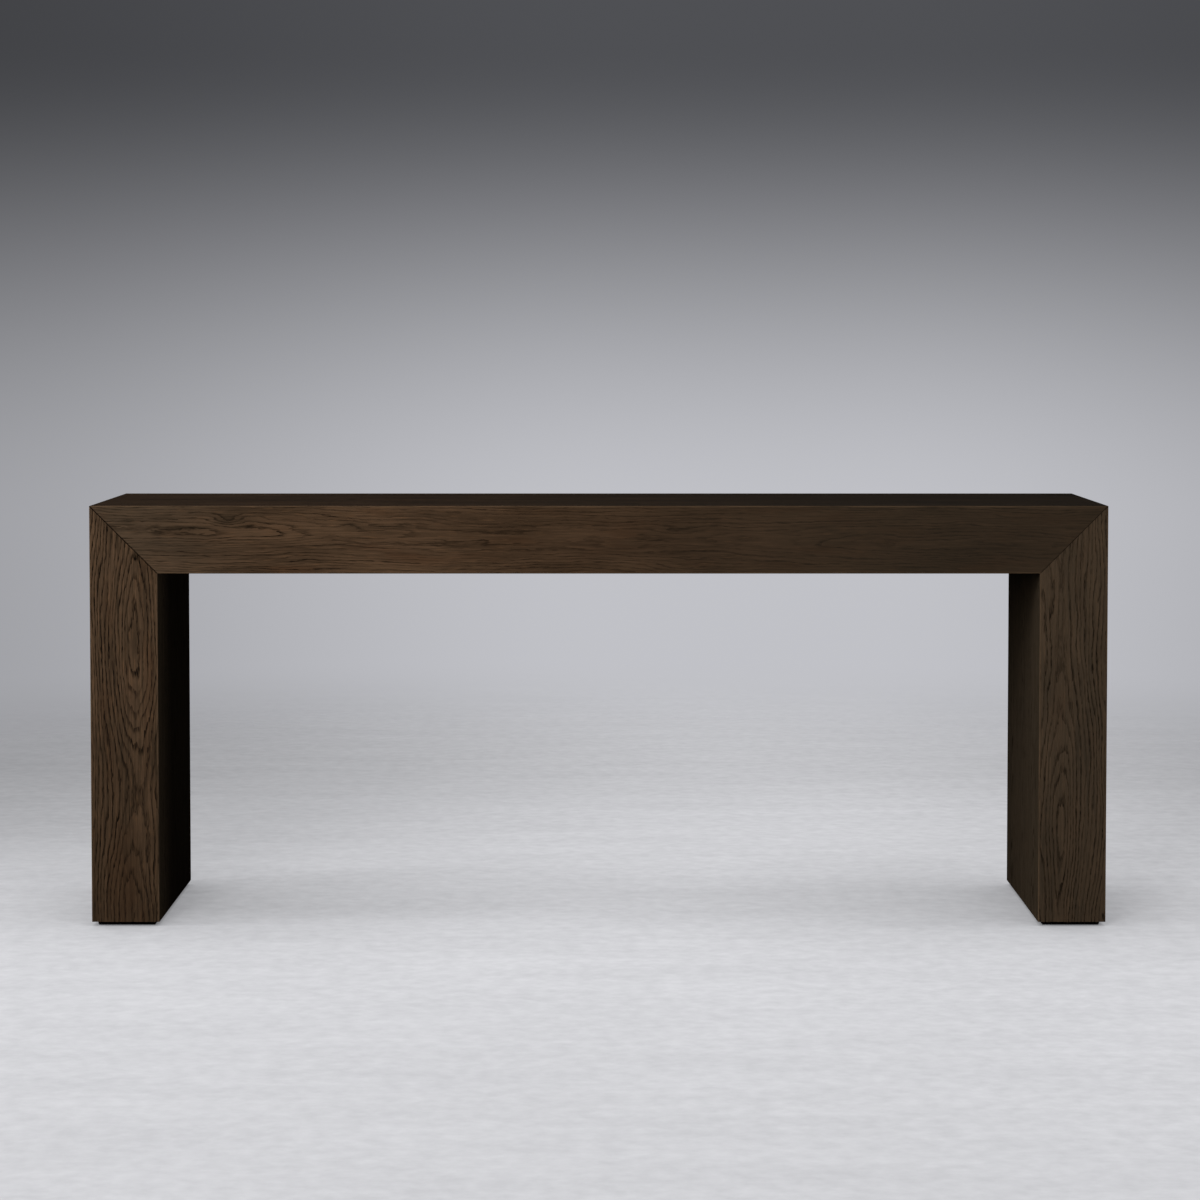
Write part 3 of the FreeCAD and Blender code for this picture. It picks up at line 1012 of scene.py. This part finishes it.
def make_lights():
    """A soft key from the front left, and dimmer lights that open up the shade.

    One fill stands beyond the right end, one stands higher beyond the left end and reaches under the top,
    and one is far behind.
    """
    for softbox in (KEY, RIGHT_FILL, LEFT_FILL):
        make_softbox(softbox)
    make_back_light()


# Floor and backdrop, in metres

FLOOR_RADIUS = 4.2
FLOOR_FADES_FROM = 1.7
FLOOR_FADES_TO = 4.1
FLOOR_SIDES = 96
FLOOR_PALE = (0.181, 0.182, 0.190, 1.0)
FLOOR_DEEP = (0.157, 0.158, 0.166, 1.0)
FLOOR_DULL = (0.115, 0.115, 0.115, 1.0)
TROWEL_MARKS = Lumps(across=0.090, along=0.420, offset=1.0, detail=4.0, strength=0.6)
GRIT = Lumps(across=0.026, along=0.034, offset=2.0, detail=4.0, roughness=0.6, strength=1.1)

# Light that the floor gives off to the eye, and where it gets weaker
GLOW = (0.555, 0.557, 0.579, 1.0)
GLOW_MOTTLE = 0.14
SHADE_REACH = 0.69
SHADE_SHARE = 0.80
NEAR_KEY_ENDS = 2.2
NEAR_KEY_FADES = 4.5
NEAR_KEY_LEAVES = 0.78
SIDES_MIDDLE = 0.4
SIDES_FULL = 2.0
SIDES_SHADE = 0.48
SIDES_START_BACK = -0.25
SIDES_FULL_BACK = 1.0
FAR_STARTS = 0.9
FAR_FULL = 1.7
FAR_SHADE = 0.13

# Heights and sides of the backdrop, as parts of a unit direction
BACKDROP_LOW = (0.53, 0.535, 0.57, 1.0)
BACKDROP_LOW_TO = -0.069
BACKDROP_HIGH = (0.078, 0.080, 0.088, 1.0)
BACKDROP_HIGH_FROM = 0.098
BACKDROP_SIDE = (0.01, 0.01, 0.011, 1.0)
BACKDROP_MIDDLE = 0.05
BACKDROP_SIDE_STARTS = 0.04
BACKDROP_SIDE_FULL = 0.30
BACKDROP_SIDE_SHARE = 0.36
ROOM_LOW = (0.052, 0.0533, 0.057, 1.0)
ROOM_HIGH = (0.060, 0.062, 0.0675, 1.0)
ROOM_HIGH_FROM = 0.7


def floor_glow(graph, x, y, mottle):
    """Strength of the floor's own light.

    It is weaker near the key light, round the table's feet, at the far sides and far back.
    """
    key_x, key_y, _ = KEY.place
    from_key = graph.distance(x - key_x, y - key_y)
    eased = graph.fade(from_key, NEAR_KEY_ENDS, NEAR_KEY_FADES, NEAR_KEY_LEAVES, 1.0)
    at_sides = graph.fade(graph.absolute(x - SIDES_MIDDLE), 0.0, SIDES_FULL, 0.0, SIDES_SHADE)
    backwards = graph.fade(y, SIDES_START_BACK, SIDES_FULL_BACK)
    far = graph.fade(y, FAR_STARTS, FAR_FULL, 0.0, FAR_SHADE)
    shaded = (1.0 - graph.openness(SHADE_REACH)) * SHADE_SHARE
    mottled = mottle * GLOW_MOTTLE + (1.0 - GLOW_MOTTLE / 2)
    return eased * (1.0 - at_sides * backwards) * (1.0 - far) * (1.0 - shaded) * mottled


def floor_material():
    """Pale, faintly mottled plaster that fades out into the backdrop."""
    material, graph = new_material("pale_floor")
    x, y, _ = graph.place()
    spot = Spot(x, y)
    mottle = graph.share(graph.noise(TROWEL_MARKS, spot) + graph.noise(GRIT, spot))
    seen = graph.seen()
    matte = graph.node("BsdfDiffuse")
    plaster = graph.blend(mottle, FLOOR_DEEP, FLOOR_PALE)
    graph.feed(matte.inputs["Color"], graph.blend(seen, FLOOR_DULL, plaster))
    glow = graph.node("Emission")
    graph.feed(glow.inputs["Color"], GLOW)
    graph.feed(glow.inputs["Strength"], seen * floor_glow(graph, x, y, mottle))
    both = graph.node("AddShader")
    graph.join(both, (0, matte), (1, glow))
    edge = graph.node("MixShader")
    graph.feed(edge.inputs[0], graph.fade(graph.distance(x, y), FLOOR_FADES_FROM, FLOOR_FADES_TO))
    graph.join(edge, (1, both), (2, graph.node("BsdfTransparent")))
    graph.join(graph.node("OutputMaterial"), ("Surface", edge))
    return material


def make_floor():
    """Round floor under the table."""
    corners = []
    for i in range(FLOOR_SIDES):
        angle = 2.0 * math.pi * i / FLOOR_SIDES
        corners.append((FLOOR_RADIUS * math.cos(angle), FLOOR_RADIUS * math.sin(angle), 0.0))
    mesh = bpy.data.meshes.new("floor")
    mesh.from_pydata(corners, [], [range(FLOOR_SIDES)])
    mesh.materials.append(floor_material())
    floor = bpy.data.objects.new("floor", mesh)
    bpy.context.collection.objects.link(floor)


def make_world():
    """Grey backdrop, darker overhead and at the sides, and the dimmer room light on the table."""
    world = bpy.data.worlds.new("studio")
    world.use_nodes = True
    bpy.context.scene.world = world
    graph = Graph(world.node_tree)
    direction = Term(graph, graph.node("TexCoord").outputs["Generated"])
    sideways, _, height = graph.parts(direction)
    upwards = graph.fade(height, BACKDROP_LOW_TO, BACKDROP_HIGH_FROM)
    backdrop = graph.blend(upwards, BACKDROP_LOW, BACKDROP_HIGH)
    off_middle = graph.absolute(sideways - BACKDROP_MIDDLE)
    at_side = graph.fade(off_middle, BACKDROP_SIDE_STARTS, BACKDROP_SIDE_FULL, 0.0, BACKDROP_SIDE_SHARE)
    backdrop = graph.blend(at_side, backdrop, BACKDROP_SIDE)
    room = graph.blend(graph.fade(height, 0.0, ROOM_HIGH_FROM), ROOM_LOW, ROOM_HIGH)
    background = graph.node("Background")
    graph.feed(background.inputs["Color"], graph.blend(graph.seen(), room, backdrop))
    graph.join(graph.node("OutputWorld"), ("Surface", background))


# Camera; its sensor and focal length are in millimetres

SENSOR_WIDTH = 36.0
FOCAL_LENGTH = 87.69
LENS_SHIFT = -0.12
CAMERA_PLACE = (0.0022, -5.3514, 1.0539)
CAMERA_DEGREES_DOWN = 2.421


def make_camera():
    """Long lens straight in front of the table, somewhat above its top, tilted down a little."""
    lens = bpy.data.cameras.new("camera")
    lens.sensor_width = SENSOR_WIDTH
    lens.lens = FOCAL_LENGTH
    lens.shift_y = LENS_SHIFT
    camera = bpy.data.objects.new("camera", lens)
    camera.location = CAMERA_PLACE
    camera.rotation_euler = (math.pi / 2 - math.radians(CAMERA_DEGREES_DOWN), 0.0, 0.0)
    bpy.context.collection.objects.link(camera)
    bpy.context.scene.camera = camera


dress_oak()
dress_inner_pieces()
make_floor()
make_world()
make_lights()
make_camera()
bpy.context.scene.view_settings.view_transform = "Standard"
